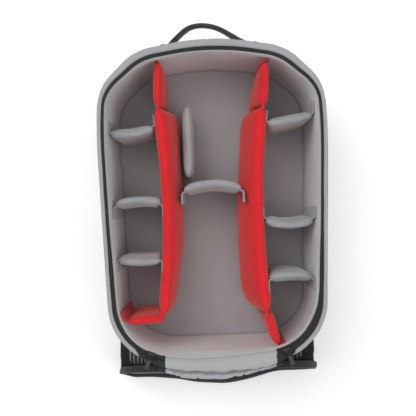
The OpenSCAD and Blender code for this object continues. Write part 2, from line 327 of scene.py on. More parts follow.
class Nodes:
    """Short calls for building one material's nodes."""

    def __init__(self, name):
        self.material = bpy.data.materials.new(name)
        self.material.use_nodes = True
        self.tree = self.material.node_tree
        self.tree.nodes.clear()
        self.shader = self.new("BsdfPrincipled")
        self.link(self.shader.outputs[0], self.new("OutputMaterial").inputs[0])
        self.place = self.new("TexCoord").outputs["Object"]

    def new(self, kind):
        return self.tree.nodes.new(f"ShaderNode{kind}")

    def axes(self):
        split = self.new("SeparateXYZ")
        self.link(self.place, split.inputs[0])
        return split.outputs

    def link(self, a, b):
        self.tree.links.new(a, b)

    def fill(self, socket, value):
        if isinstance(value, bpy.types.NodeSocket):
            self.link(value, socket)
        else:
            socket.default_value = value

    def math(self, operation, a, b=0.0):
        node = self.new("Math")
        node.operation = operation
        self.fill(node.inputs[0], a)
        self.fill(node.inputs[1], b)
        return node.outputs[0]

    def total(self, a, share_a, b, share_b):
        """The sum of two values, each times its share."""
        return self.math("ADD", self.math("MULTIPLY", a, share_a), self.math("MULTIPLY", b, share_b))

    def tones(self, amount, rgb, contrast, lift=1.0):
        """The colour from darker to lighter by the given contrast."""
        return self.blend(amount, scaled(rgb, 1 - contrast), scaled(rgb, 1 + contrast * lift))

    def noise(self, scale, detail=2.0, roughness=0.5):
        node = self.new("TexNoise")
        self.link(self.place, node.inputs["Vector"])
        node.inputs["Scale"].default_value = scale
        node.inputs["Detail"].default_value = detail
        node.inputs["Roughness"].default_value = roughness
        return node.outputs["Fac"]

    def cells(self, scale):
        node = self.new("TexVoronoi")
        self.link(self.place, node.inputs["Vector"])
        node.inputs["Scale"].default_value = scale
        return node.outputs["Distance"]

    def weave(self, pitch):
        """A woven dimple pattern that suits a surface facing any way. pitch is in millimetres."""
        k = 2 * math.pi / (pitch * MM)
        wander = self.math("MULTIPLY", self.noise(90, 2), 8.0)
        turns = [self.math("ADD", self.math("MULTIPLY", axis, k), wander) for axis in self.axes()]
        waves = []
        for a, b in ((0, 1), (1, 2), (2, 0)):
            one = self.math("SINE", turns[a])
            two = self.math("COSINE", turns[b])
            waves.append(self.math("MULTIPLY", one, two))
        total = self.math("ADD", self.math("ADD", waves[0], waves[1]), waves[2])
        return self.math("ADD", self.math("MULTIPLY", total, 0.35), 0.5)

    def ribs(self, axis, pitch):
        wave = self.math("SINE", self.math("MULTIPLY", self.axes()[axis], 2 * math.pi / (pitch * MM)))
        return self.math("ADD", self.math("MULTIPLY", wave, 0.5), 0.5)

    def blend(self, amount, dark, light):
        node = self.new("Mix")
        node.data_type = "RGBA"
        node.clamp_factor = True
        self.fill(node.inputs[0], amount)
        node.inputs[6].default_value = (*dark, 1)
        node.inputs[7].default_value = (*light, 1)
        return node.outputs[2]

    def edged(self, colour, half, other):
        """Another colour further out than half from the middle plane."""
        node = self.new("Mix")
        node.data_type = "RGBA"
        side = self.math("ABSOLUTE", self.axes()[0])
        self.fill(node.inputs[0], self.math("GREATER_THAN", side, half * MM))
        self.link(colour, node.inputs[6])
        node.inputs[7].default_value = (*other, 1)
        return node.outputs[2]

    def finish(self, colour, height, bump, distance, rough, sheen=0.0, sheen_tint=(1, 1, 1)):
        self.link(colour, self.shader.inputs["Base Color"])
        node = self.new("Bump")
        node.inputs["Strength"].default_value = bump
        node.inputs["Distance"].default_value = distance * MM
        self.link(height, node.inputs["Height"])
        self.link(node.outputs[0], self.shader.inputs["Normal"])
        self.fill(self.shader.inputs["Roughness"], rough)
        self.shader.inputs["Sheen Weight"].default_value = sheen
        self.shader.inputs["Sheen Roughness"].default_value = 0.45
        self.shader.inputs["Sheen Tint"].default_value = (*sheen_tint, 1)
        return self.material


def scaled(rgb, factor):
    return tuple(min(1.0, c * factor) for c in rgb)


def woven(name, rgb, pitch, contrast=0.25, bump=0.35, rough=0.82, sheen=0.15):
    """Plain-weave cloth: threads, slight mottling and a soft sheen."""
    n = Nodes(name)
    threads = n.weave(pitch)
    soft = n.noise(16, 3)
    amount = n.total(threads, 0.6, soft, 0.5)
    colour = n.tones(amount, rgb, contrast)
    height = n.total(threads, 1, n.noise(60, 3), 1.2)
    return n.finish(colour, height, bump, 0.5, rough, sheen)


BLACK = (0.018, 0.018, 0.020)
LINING_RGB = (0.395, 0.405, 0.415)


def brushed(name, rgb, contrast=0.16, bump=0.5, sheen=0.45, tint=(1, 1, 1), half=None):
    """Brushed loop knit, as on padded dividers: fine fuzz over a soft, uneven face.

    With half, it turns black that far from the middle plane."""
    n = Nodes(name)
    fuzz = n.noise(1100, 2, 0.7)
    loops = n.cells(620)
    soft = n.noise(22, 4, 0.55)
    amount = n.total(fuzz, 0.45, soft, 0.55)
    colour = n.tones(amount, rgb, contrast)
    if half:
        colour = n.edged(colour, half, BLACK)
    height = n.total(n.math("ADD", fuzz, loops), 1, soft, 2)
    return n.finish(colour, height, bump, 0.45, 0.95, sheen, tint)


def ribbed(name, rgb, axis, pitch, contrast=0.35, bump=0.6, rough=0.6):
    """Webbing or tape: ribs across one axis over a fine weave."""
    n = Nodes(name)
    ribs = n.ribs(axis, pitch)
    threads = n.weave(0.9)
    amount = n.total(ribs, 0.6, threads, 0.4)
    colour = n.tones(amount, rgb, contrast, 1.5)
    height = n.total(ribs, 1, threads, 0.5)
    return n.finish(colour, height, bump, 0.4, rough, 0.1)


def netting(name, dark, light):
    """Air mesh: small open cells over foam."""
    n = Nodes(name)
    cell = n.cells(430)
    amount = n.math("MULTIPLY", n.math("SUBTRACT", cell, 0.25), 2.6)
    colour = n.blend(amount, light, dark)
    height = n.math("SUBTRACT", 1.0, cell)
    return n.finish(colour, height, 0.8, 0.8, 0.85, 0.2)


def striped(name, dark, light, axis, pitch):
    """Ribbed spacer mesh: light raised channels with dark gaps between them, painted light on the channels
    and painted shade in the gaps, over a real cell texture.
    """
    n = Nodes(name)
    ribs = n.ribs(axis, pitch)
    cell = n.cells(900)
    amount = n.total(ribs, 1.35, cell, -0.35)
    colour = n.blend(amount, dark, light)
    height = n.total(ribs, 1, cell, 0.4)
    return n.finish(colour, height, 0.8, 0.8, 0.85, 0.2)


def hard(name, rgb, rough, metallic=0.0, grain=900):
    """Moulded plastic or painted metal with fine grain and rubbed patches."""
    n = Nodes(name)
    fine = n.noise(grain, 2)
    patches = n.noise(140, 4, 0.6)
    colour = n.blend(patches, scaled(rgb, 0.75), scaled(rgb, 1.5))
    n.shader.inputs["Metallic"].default_value = metallic
    roughness = n.math("ADD", n.math("MULTIPLY", patches, 0.25), rough - 0.12)
    return n.finish(colour, fine, 0.15, 0.15, roughness)


OUTER = woven("outer_fabric_grey", (0.36, 0.36, 0.37), 1.5)
DARK = woven("dark_fabric_black", BLACK, 1.3, contrast=0.4, sheen=0.06)
LINING = brushed("lining_grey", LINING_RGB, contrast=0.10)
LID_LINING = brushed("lid_lining_grey", LINING_RGB, contrast=0.10, sheen=0.2, half=87)
# A darker copy of the lining for the gusset's folds: painted shade in the creases.
CREASE_SHADE = brushed("lining_crease_painted_shade", (0.25, 0.26, 0.27), contrast=0.10)
# A lighter copy of the lining for the sides of the wall: painted light.
LINING_WALL_LIT = brushed("lining_wall_painted_light", (0.62, 0.69, 0.70), contrast=0.08)
GREY_PAD = brushed("divider_grey_knit", (0.315, 0.325, 0.335), contrast=0.14)
RED_PAD = brushed("divider_red_knit", (0.72, 0.012, 0.018), contrast=0.16, tint=(1, 0.45, 0.4))
ZIP_TAPE = ribbed("zip_tape_black", (0.014, 0.014, 0.016), 2, 1.2, rough=0.8)
COIL = hard("zip_coil_black", (0.030, 0.030, 0.032), 0.35)
WEB_Z = ribbed("webbing_black", (0.022, 0.022, 0.024), 2, 2.2)
WEB_Y = ribbed("webbing_black_lengthwise", (0.022, 0.022, 0.024), 1, 2.2)
MESH = netting("air_mesh_grey", (0.05, 0.05, 0.052), (0.24, 0.24, 0.245))
RIB_PITCH = 6.8
# Rib mesh with painted light on its channels and painted shade in the gaps between them.
RIBS_LIT_AND_SHADED = striped("air_mesh_ribs_painted_light_and_shade", (0.02, 0.02, 0.021), (0.26, 0.26, 0.265), 0, RIB_PITCH)
METAL = hard("slider_metal_black", (0.03, 0.03, 0.032), 0.32, metallic=0.7)
PLASTIC = hard("buckle_plastic_black", (0.02, 0.02, 0.022), 0.45)
THREAD = woven("stitching_grey", (0.30, 0.30, 0.31), 0.8, rough=0.7)
DARK_THREAD = woven("stitching_black", (0.035, 0.035, 0.037), 0.8, rough=0.7)

# ---- Swelling of padded pieces by cloth simulation ----

VOXEL = 4.5
PRESSURE = 4.0
swelling = []


def swell(piece, cap):
    """Puts a padded piece on the list that simulate() swells in one run, by up to about cap."""
    swelling.append((piece, cap))


def simulate():
    scene = bpy.context.scene
    starts = []
    for piece, _ in swelling:
        remesh = piece.modifiers.new("Remesh", "REMESH")
        remesh.mode = "VOXEL"
        remesh.voxel_size = VOXEL * MM
        remesh.use_smooth_shade = True
        apply_modifiers(piece)
        start = np.empty(len(piece.data.vertices) * 3)
        piece.data.vertices.foreach_get("co", start)
        starts.append(start.reshape(-1, 3).copy())
        cloth = piece.modifiers.new("Cloth", "CLOTH").settings
        cloth.quality = 4
        cloth.mass = 0.3
        cloth.use_pressure = True
        cloth.uniform_pressure_force = PRESSURE
        cloth.effector_weights.gravity = 0
        cloth.tension_stiffness = cloth.compression_stiffness = 12
        cloth.bending_stiffness = 0.6
    for k in range(1, 21):
        scene.frame_set(k)
    graph = bpy.context.evaluated_depsgraph_get()
    for (piece, cap), start in zip(swelling, starts):
        moved = np.empty(start.size)
        piece.evaluated_get(graph).data.vertices.foreach_get("co", moved)
        shift = moved.reshape(-1, 3) - start
        far = np.linalg.norm(shift, axis=1)
        keep = cap * MM * np.tanh(far / (cap * MM)) / np.maximum(far, 1e-9)
        piece.modifiers.clear()
        piece.data.vertices.foreach_set("co", (start + shift * keep[:, None]).ravel())
        piece.data.update()
        smooth = piece.modifiers.new("Subdivision", "SUBSURF")
        smooth.levels = smooth.render_levels = 1
        apply_modifiers(piece)
    scene.frame_set(1)


def apply_modifiers(piece):
    graph = bpy.context.evaluated_depsgraph_get()
    mesh = bpy.data.meshes.new_from_object(piece.evaluated_get(graph))
    old = piece.data
    piece.modifiers.clear()
    piece.data = mesh
    mesh.name = piece.name
    bpy.data.meshes.remove(old)
    mesh.polygons.foreach_set("use_smooth", [True] * len(mesh.polygons))


# ---- Body of the bag ----

plan, out = from_foot(*rounded_plan(BAG_CORNERS, 460))


def smooth_step(x, low, high):
    t = np.clip((x - low) / (high - low), 0, 1)
    return t * t * (3 - 2 * t)


def sag(x, z=RIM_Z):
    """How far the lid's pull draws the rim outwards at the middle of the bottom end."""
    return 9 * np.clip(1 - (x / 112) ** 2, 0, 1) ** 1.3 * smooth_step(z, 180, 212)


def pull_out(rings):
    """Moves the bottom end of a wall outwards by the sag."""
    rings[:, :, 1] -= sag(rings[:, :, 0], rings[:, :, 2]) * (rings[:, :, 1] < -190)


def band_width(points):
    """Width of the padded rim, which is widest across the top end."""
    y = points[:, 1]
    return 6.4 + 5.0 * smooth_step(y, 160, 235) + 0.8 * smooth_step(-y, 110, 190)


def zip_width(points):
    """Visible width of the zip, which widens into the two lower corners."""
    y = points[:, 1]
    top = 0.9 * smooth_step(y, 160, 235)
    foot = 0.8 + 4.8 * smooth_step(points[:, 0], -60, 60)
    return 3.1 + top + 1.8 * smooth_step(-y, 20, 120) + foot * smooth_step(-y, 130, 205)


def build_shell():
    """Outer fabric: the side wall and front panel as one closed, slightly sagging skin."""
    profile = [(8.2, BAND_Z + 4), (0.6, BAND_Z + 2)]
    profile += [(0.0, z) for z in np.linspace(BAND_Z - 6, PANEL_Z + 14, 22)]
    radius = 9
    for a in np.linspace(0, 90, 7):
        a = math.radians(a)
        profile.append((radius - radius * math.cos(a), PANEL_Z + radius - radius * math.sin(a)))
    rings = along_plan(plan, out, np.array(profile))
    height = rings[:, :, 2]
    share = (height - PANEL_Z) / (BAND_Z - PANEL_Z)
    belly = 2.2 * np.sin(np.clip(share, 0, 1) * math.pi)
    folds = 1.6 * ripple(rings * [1, 1, 0.45], 46) * np.sin(np.clip(share, 0, 1) * math.pi)
    push = belly + folds
    rings[:, :, :2] += out[:, None, :] * push[:, :, None]
    rings[:, :2, :2] -= out[:, None, :] * push[:, :2, None]
    outside = rings.transpose(1, 0, 2)
    last = outside[-1]
    underside = []
    for t in (0.985, 0.95, 0.88, 0.78, 0.66, 0.52, 0.38, 0.24, 0.1, 0.02):
        ring = last * [t, t, 1]
        ring[:, 2] = PANEL_Z - 0.2 + 0.5 * ripple(ring, 60, 3.0) * (1 - t)
        underside.append(ring)
    inside = []
    for t in (0.02, 0.3, 0.6, 0.9, 0.95):
        inside.append(np.column_stack([plan * t, np.full(len(plan), PANEL_Z + 6)]))
    for z in (PANEL_Z + 12, 80, 140, BAND_Z - 2):
        inside.append(np.column_stack([plan - out * 8.2, np.full(len(plan), z)]))
    rings = np.concatenate([outside, underside, inside])
    pull_out(rings)
    loft(
        "outer_shell", rings, OUTER,
        "bag", "outer_fabric", "side_wall", "front_panel", closed_path=True,
    )

    seam_z = (PANEL_Z + 7, BAND_Z - 1)
    for name, z, inset in (("lower_piping", seam_z[0], -1.2), ("upper_piping", seam_z[1], -0.8)):
        ring = squircle(4.4, 4.4, 2.0, 10) + [inset, z]
        loft(name, along_plan(plan, out, ring), DARK, "bag", "dark_fabric", closed_path=True)


def build_rim():
    """Padded band round the opening, rounded and a little uneven, with a row of stitches."""
    width = band_width(plan)
    ring = squircle(1, 15.5, 2.9, 28)
    profile = np.empty((len(plan), len(ring), 2))
    profile[:, :, 0] = width[:, None] * (0.44 + 1.14 * ring[None, :, 0])
    profile[:, :, 1] = ring[:, 1] + RIM_Z - 6.2
    rings = along_plan(plan, out, profile)
    rings[:, :, 2] += 0.8 * ripple(rings * [1, 1, 0.3], 52, 7.0)
    uneven = 0.8 * ripple(rings, 38, 11.0) + 0.5
    rings[:, :, :2] += out[:, None, :] * uneven[:, :, None]
    pull_out(rings)
    under_cloth = smooth_step(FOOT_STRAIGHT - abs(plan[:, 0]), 0, 12) * (plan[:, 1] < 0)
    rings[:, :, 2] -= 1.8 * under_cloth[:, None]
    seam = np.exp(-(((plan[:, 0] + 2) / 1.3) ** 2)) * (plan[:, 1] > 0)
    middle = rings.mean(axis=1, keepdims=True)
    rings += (middle - rings) * (0.14 * seam)[:, None, None]
    band = loft(
        "rim_band_padded", rings, [OUTER, DARK], "bag", "outer_fabric", "rim_band",
        closed_path=True, fill=0.8,
    )
    at = face_data(band, "center") / MM
    inset = np.clip(FOOT_R - np.hypot(abs(at[:, 0]) - ARC_X, at[:, 1] - ARC_Y), 0, 8)
    dark = (at[:, 1] < -150) & (at[:, 0] > -125 - 1.0 * inset) & (at[:, 0] < 115.5 + 1.0 * inset)
    band.data.polygons.foreach_set("material_index", dark.astype(int))
    stitches("rim_stitches", RIM_Z + 0.7, THREAD)


def face_data(piece, kind):
    """The centre or the normal of every face of a piece, in metres."""
    values = np.empty(len(piece.data.polygons) * 3)
    piece.data.polygons.foreach_get(kind, values)
    return values.reshape(-1, 3)


def stitches(name, z, material, length=3.2, pitch=5.2):
    """A row of short thread lengths near the rim's inner edge."""
    total = np.linalg.norm(np.roll(plan, -1, axis=0) - plan, axis=1).sum()
    points, normals = from_foot(*rounded_plan(BAG_CORNERS, int(total / pitch)))
    parts = []
    for p, n, width in zip(points, normals, band_width(points)):
        if abs(p[0]) < FOOT_STRAIGHT and p[1] < 0:
            continue
        along = np.array([-n[1], n[0]])
        at = p - n * (width - 1.9)
        line = [[*(at + along * t * length / 2), z - 0.5 * t * t] for t in (-1, -0.5, 0, 0.5, 1)]
        parts.append(tube(line, 0.4, 5))
    joined(name, parts, material, "bag", "outer_fabric")


def zip_line():
    """The outline's points outside the hinge gusset, in order from left of it to right."""
    keep = ~((plan[:, 0] > GUSSET_X[0]) & (plan[:, 0] < GUSSET_X[1]) & (plan[:, 1] < 0))
    first = int(np.argmax(keep))
    last = len(keep) - int(np.argmax(keep[::-1]))
    return plan[first:last], out[first:last]


def teeth(points, normals, inset, z, pitch=2.3, size=2.6):
    """One half of a coil zip: a loop of nylon for each pitch of the tape."""
    total = np.linalg.norm(np.diff(points, axis=0), axis=1).sum()
    inset = np.broadcast_to(inset, len(points))
    rows = resample(np.column_stack([points, normals, inset]), int(total / pitch))
    parts = []
    ring = squircle(1.0, 1.0, 2.2, 6)
    for row in rows:
        p, n = row[:2] - row[2:4] * row[4], row[2:4]
        wide = np.outer(ring[:, 0] * 1.5, [-n[1], n[0], 0])
        tall = np.outer(ring[:, 1] * 1.6, [0, 0, 1])
        rings = []
        for t, grow in ((-0.5, 0.55), (-0.35, 1), (0.35, 1), (0.5, 0.6)):
            rings.append(np.array([*(p - n * t * size), z]) + (wide + tall) * grow)
        parts.append(rings)
    return parts


def build_body_zip():
    points, normals = zip_line()
    band, width = band_width(points), zip_width(points)
    ring = squircle(1, 1.5, 4, 14)
    profile = np.empty((len(points), len(ring), 2))
    profile[:, :, 0] = (band + width / 2 - 0.7)[:, None] + (width + 1.6)[:, None] * ring[None, :, 0]
    profile[:, :, 1] = ring[:, 1] + RIM_Z - 1.0 - 0.5 * ring[:, 0]
    rings = along_plan(points, normals, profile)
    rings[:, :, 2] += 0.5 * ripple(rings, 30, 21.0)
    loft("body_zip_tape", rings, ZIP_TAPE, "bag", "zip_tape", "body_zip")
    middle = band + np.minimum(width * 0.45, 3.2)
    joined("body_zip_coil", teeth(points, normals, middle, RIM_Z + 0.2), COIL, "bag", "zip_tape")


def build_lining():
    """Brushed lining: a soft wall with a rolled top edge and an uneven padded floor."""
    top = RIM_Z - 3.5
    edge = band_width(plan) + zip_width(plan)
    wall_face = 12.5 + 0.9 * smooth_step(abs(plan[:, 1]), 150, 210)
    steps = [("outer", 0, FLOOR_Z - 2), ("outer", 0, 120), ("outer", 0, top - 4)]
    steps += [("edge", -0.9, top + 0.4), ("edge", 0.5, top + 1.3), ("edge", 1.7, top + 0.2)]
    steps += [("edge", 2.1, top - 3)]
    heights = np.linspace(top - 7, FLOOR_Z + 10, 18)
    steps += [("face", float(smooth_step(top - z, 5, 40)), z) for z in heights]
    steps += [("foot", 0.8, FLOOR_Z + 4), ("foot", 3.0, FLOOR_Z + 0.8), ("foot", 4.0, FLOOR_Z - 1.5)]
    profile = np.empty((len(plan), len(steps), 2))
    for k, (kind, value, z) in enumerate(steps):
        if kind == "outer":
            inset = np.full(len(plan), WALL_T + 0.5)
        elif kind == "edge":
            inset = edge + value
        elif kind == "face":
            inset = (edge + 2.1) * (1 - value) + wall_face * value
        else:
            inset = wall_face + value
        profile[:, k, 0] = inset
        profile[:, k, 1] = z
    rings = along_plan(plan, out, profile)
    face = np.zeros(rings.shape[:2])
    face[:, 4:] = 1
    depth = np.clip((top - rings[:, :, 2]) / 60, 0.25, 1)
    creases = 2.4 * ripple(rings * [1, 1, 0.3], 55, 31.0) + 1.0 * ripple(rings * [1, 1, 0.5], 19, 5.0)
    push = np.maximum(creases, -0.9) * face * depth
    rings[:, :, :2] -= out[:, None, :] * push[:, :, None]
    pull_out(rings)
    wall = loft(
        "lining_wall_cloth", rings, [LINING_WALL_LIT, LINING], "bag", "lining", "lining_wall",
        closed_path=True,
    )
    # Faces that look up keep the plain lining; the rest of the wall gets the lighter copy, which is painted
    # light.
    edge_face = face_data(wall, "normal")[:, 2] > 0.3
    wall.data.polygons.foreach_set("material_index", edge_face.astype(int))

    rings = pad_rings(plan - out * 15.5, out, FLOOR_Z - 3.5, FLOOR_Z, 1.6, 0, 0, 16)
    upper = rings[:, :, 2] > FLOOR_Z - 0.5
    rings[:, :, 2] += upper * (0.9 * ripple(rings, 70, 41.0))
    loft("lining_floor_pad", rings, LINING, "bag", "lining", "lining_floor", fill=0.5)


def run_length(path):
    return np.linalg.norm(np.diff(path, axis=0), axis=1).sum()


def crease(share, at, width, height):
    """A crease or a ridge across a sheet of cloth, near the given share of its length."""
    return height * np.exp(-(((share - at) / width) ** 2))


# Short folds that run down the gusset: x, how far each leans over, and depth
GATHERS = [
    (-75, 6, 3.5), (-69, 9, 2.5), (-46, 22, 2.2), (14, 18, 2.0), (48, -20, 2.6), (70, -14, 2.6),
]


def hinge_cloth(name, x_start, x_end, material, slot, first=0):
    """Wrinkled cloth from inside the bottom rim, over it and down to the lid's top edge.

    first is the number of points left out at its inner end."""
    path = np.array([
        (-231.5, 199), (-232.0, 208), (-234.5, 214.5), (-240, 218.4), (-248, 218.6), (-255.5, 214.5),
        (-261.5, 208), (-266.5, 201), (-270.5, 193), (-273.6, 182), (-276.6, 170),
    ], float)
    whole = run_length(path)
    path = resample(path[first:], 54)
    share = np.linspace(1 - run_length(path) / whole, 1, len(path))
    tangent = directions(path)
    outward = np.stack([-tangent[:, 1], tangent[:, 0]], axis=1)
    outward *= np.sign(outward @ np.array([-0.3, 1.0]))[:, None]
    count = max(24, int(abs(x_end - x_start) / 1.3))
    rings, folds = [], []
    for t in np.linspace(0, 1, count):
        x = np.full(len(path), x_start + (x_end - x_start) * t)
        corner = np.maximum(abs(x) - ARC_X, 0)
        rise = FOOT_R - np.sqrt(FOOT_R ** 2 - corner ** 2)
        bow = np.maximum(1 - (x / 92) ** 2, 0) * 4.5
        tight = 9.5 * smooth_step(x, 0, 95) + 5 * smooth_step(-x, 58, 90)
        point = np.column_stack([x, path])
        point[:, 1] += (rise - sag(x)) * (1 - smooth_step(share, 0.45, 0.8))
        point[:, 1] += tight * smooth_step(share, 0.35, 0.62)
        point[:, 1] += 4.8 * smooth_step(x, -60, 60) * (1 - smooth_step(share, 0.2, 0.4))
        point[:, 2] -= rise * smooth_step(share, 0.45, 0.9)
        wander = ripple(point * [0.22, 0, 0], 10, 71.0) + 0.35 * ripple(point * [1, 0, 0], 14, 33.0)
        fold = crease(share, 0.43 + 0.06 * wander, 0.034, -7.5)
        fold += crease(share, 0.53 + 0.06 * wander, 0.035, 2.5)
        fold += crease(share, 0.66 + 0.10 * ripple(point * [0.3, 0, 0], 10, 12.0), 0.030, -4.5)
        for at, lean, deep in GATHERS:
            near = np.exp(-(((x - at - lean * share) / 1.8) ** 2))
            fold -= deep * near * smooth_step(share, 0.35, 0.48) * (1 - smooth_step(share, 0.62, 0.8))
        slant = point * [0.55, 0.4, 0.4] + np.column_stack([28 * share, 0 * share, 0 * share])
        fold += 1.5 * ripple(slant, 8.5, 61.0) * smooth_step(share, 0.3, 0.42)
        fold *= np.sin(np.clip(share * 1.1, 0, 1) * math.pi) ** 0.6
        front = point.copy()
        front[:, 1:] += outward * (fold + bow * np.sin(share * math.pi))[:, None]
        back = front.copy()
        back[:, 1:] -= outward * 1.3
        rings.append(np.vstack([front, back[::-1]]))
        folds.append(np.concatenate([fold, fold[::-1]]))
    cloth = loft(name, rings, [material, CREASE_SHADE if material == LINING else material], None, slot)
    # Faces deep in a fold get the darker grey, which is painted shade.
    folds = np.array(folds).ravel()
    deep = [folds[list(face.vertices)].mean() < -2.2 for face in cloth.data.polygons]
    cloth.data.polygons.foreach_set("material_index", np.array(deep, int))
    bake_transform(cloth)
    return cloth


def build_gusset():
    """Grey lining cloth at the hinge, with the black ends of the zip flap at both sides of it."""
    cloth = hinge_cloth("hinge_gusset_cloth", *GUSSET_X, LINING, "lining", first=2)
    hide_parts("hinge_gusset")
    hinge_cloth("zip_flap_left", GUSSET_X[0] - 13, GUSSET_X[0] + 1, DARK, "dark_fabric", first=3)
    hinge_cloth("zip_flap_right", GUSSET_X[1] - 1, GUSSET_X[1] + 10, DARK, "dark_fabric", first=3)


def build_pocket():
    """Organiser pocket on the front panel, with a zip across its top end."""
    low, high = cad("front_pocket")
    x, y0, y1 = high[0], low[1], high[1]
    corners = [(x, y1, 28), (-x, y1, 28), (-x, y0, 28), (x, y0, 28)]
    points, normals = rounded_plan(corners, 150)
    rings = pad_rings(points - normals * 1.5, normals, low[2] + 0.4, high[2] + 0.5, 9, 0.0, 0, 12)
    rings[:, :, 2] += (rings[:, :, 2] < 10) * 0.35 * (1 + ripple(rings, 40, 71.0))
    loft("front_pocket_fabric", rings, OUTER, "bag", "outer_fabric", "front_pocket", fill=0.4)
    for name, z in (("pocket_piping_lower", 7.5), ("pocket_piping_upper", 30)):
        ring = squircle(3.6, 3.6, 2, 8) + [0.2, z]
        loft(name, along_plan(points, normals, ring), DARK, "bag", "dark_fabric", closed_path=True)
    low, high = cad("front_pocket_zip")
    y, z = high[1], (low[2] + high[2]) / 2
    line = np.column_stack([np.linspace(low[0], high[0], 60), np.full(60, y - 0.7)])
    tape = [[[px, py + t * 0.8, z + h] for t, h in squircle(1.6, 11, 5, 14)] for px, py in line]
    parts = []
    for px in np.arange(low[0] + 2, high[0] - 2, 2.4):
        parts.append(tube([[px, y + 0.5, z + s] for s in (-3.4, -1.5, 0, 1.5, 3.4)], 0.8, 6, up=(1, 0, 0)))
    loft("pocket_zip_tape", tape, ZIP_TAPE, "bag", "zip_tape", "front_pocket_zip")
    joined("pocket_zip_coil", parts, COIL, "bag", "zip_tape")


# ---- Handle ----


def build_handle():
    """Webbing handle: a strap that is widest where it is sewn down and rolled at the grip."""
    low, high = cad("carry_handle")
    z = (low[2] + high[2]) / 2
    half, reach = high[0] - 1, high[1] - low[1]
    shape = [
        (-1, 0.0), (-0.93, 0.16), (-0.62, 0.67), (-0.45, 0.875), (-0.26, 0.945), (-0.02, 0.925),
        (0.22, 0.81), (0.46, 0.56), (0.72, 0.255), (0.92, 0.10), (1, 0.0),
    ]
    points = [(x * half, low[1] + y * reach) for x, y in shape]
    path = smooth_line(points, 70)
    path = np.column_stack([path, np.full(len(path), z)])
    grip = np.exp(-((path[:, 0] / 40) ** 4))
    width = 27 - 10 * grip
    thickness = 6.6 - 0.4 * grip
    rings = web(path, (0, 0, 1), width, thickness, 24, 4)
    rings[:, :, 2] += 0.4 * ripple(rings, 15, 81.0)
    loft("carry_handle_web", rings, WEB_Z, "handle", "webbing", "carry_handle")

    parts = []
    middle = np.flatnonzero(grip > 0.2)
    for edge in (-1, 1):
        for a in middle[:-1]:
            p, q = path[a], path[a + 1]
            at, along = (p + q) / 2, (q - p) * 0.34
            normal = np.cross((q - p) / np.linalg.norm(q - p), (0, 0, 1))
            at = at - normal * (thickness[a] / 2 - 0.1) + [0, 0, edge * (width[a] / 2 - 3)]
            parts.append(tube([at - along, at, at + along], 0.4, 5))
    joined("handle_stitches", parts, DARK_THREAD, "handle", "webbing")

    for side, word in ((-1, "left"), (1, "right")):
        node = f"handle_anchor_{word}"
        low, high = cad(node)
        inner, outer = sorted((abs(low[0]), abs(high[0])))
        path = np.array([
            (outer + 12, 243), (outer + 5.5, 251.5), (outer - 4, 261.5), (inner + 6, high[1] - 2.8),
            (inner + 0.8, high[1] - 1.8), (inner - 6.0, high[1] - 4.0),
        ])
        path = smooth_line(path * [side, 1], 26)
        path = np.column_stack([path, np.full(len(path), z + 4)])
        loft(f"{node}_web", web(path, (0, 0, 1), 40, 3.4, 20, 5), WEB_Z, "bag", "webbing", node)


# ---- Zip sliders ----

# The pull's ring is centred on its hinge, this far out from the middle of the slider.
RING_X = 5.8


def block(centre, size, power=5.0, levels=6, count=20):
    """Rings of a soft-edged block whose rings stack along Z."""
    rings = []
    for v in np.linspace(-1, 1, levels):
        shrink = (1 - abs(v) ** 6) ** 0.25 if abs(v) < 1 else 0.78
        ring = squircle(size[0] * max(shrink, 0.78), size[1] * max(shrink, 0.78), power, count)
        rings.append(np.column_stack([ring, np.full(count, v * size[2] / 2)]) + centre)
    return np.array(rings)


def at_corner(rings, side, radius, z):
    """From a slider's own frame (x outwards, y along the zip) to its parked place."""
    a = math.radians(-90 + side * PARK_DEG)
    c, s = math.cos(a), math.sin(a)
    rings = np.array(rings, float)
    x, y = rings[..., 0] + radius, rings[..., 1]
    moved = rings.copy()
    moved[..., 0] = side * ARC_X + x * c - y * s
    moved[..., 1] = ARC_Y + x * s + y * c
    moved[..., 2] += z
    return moved


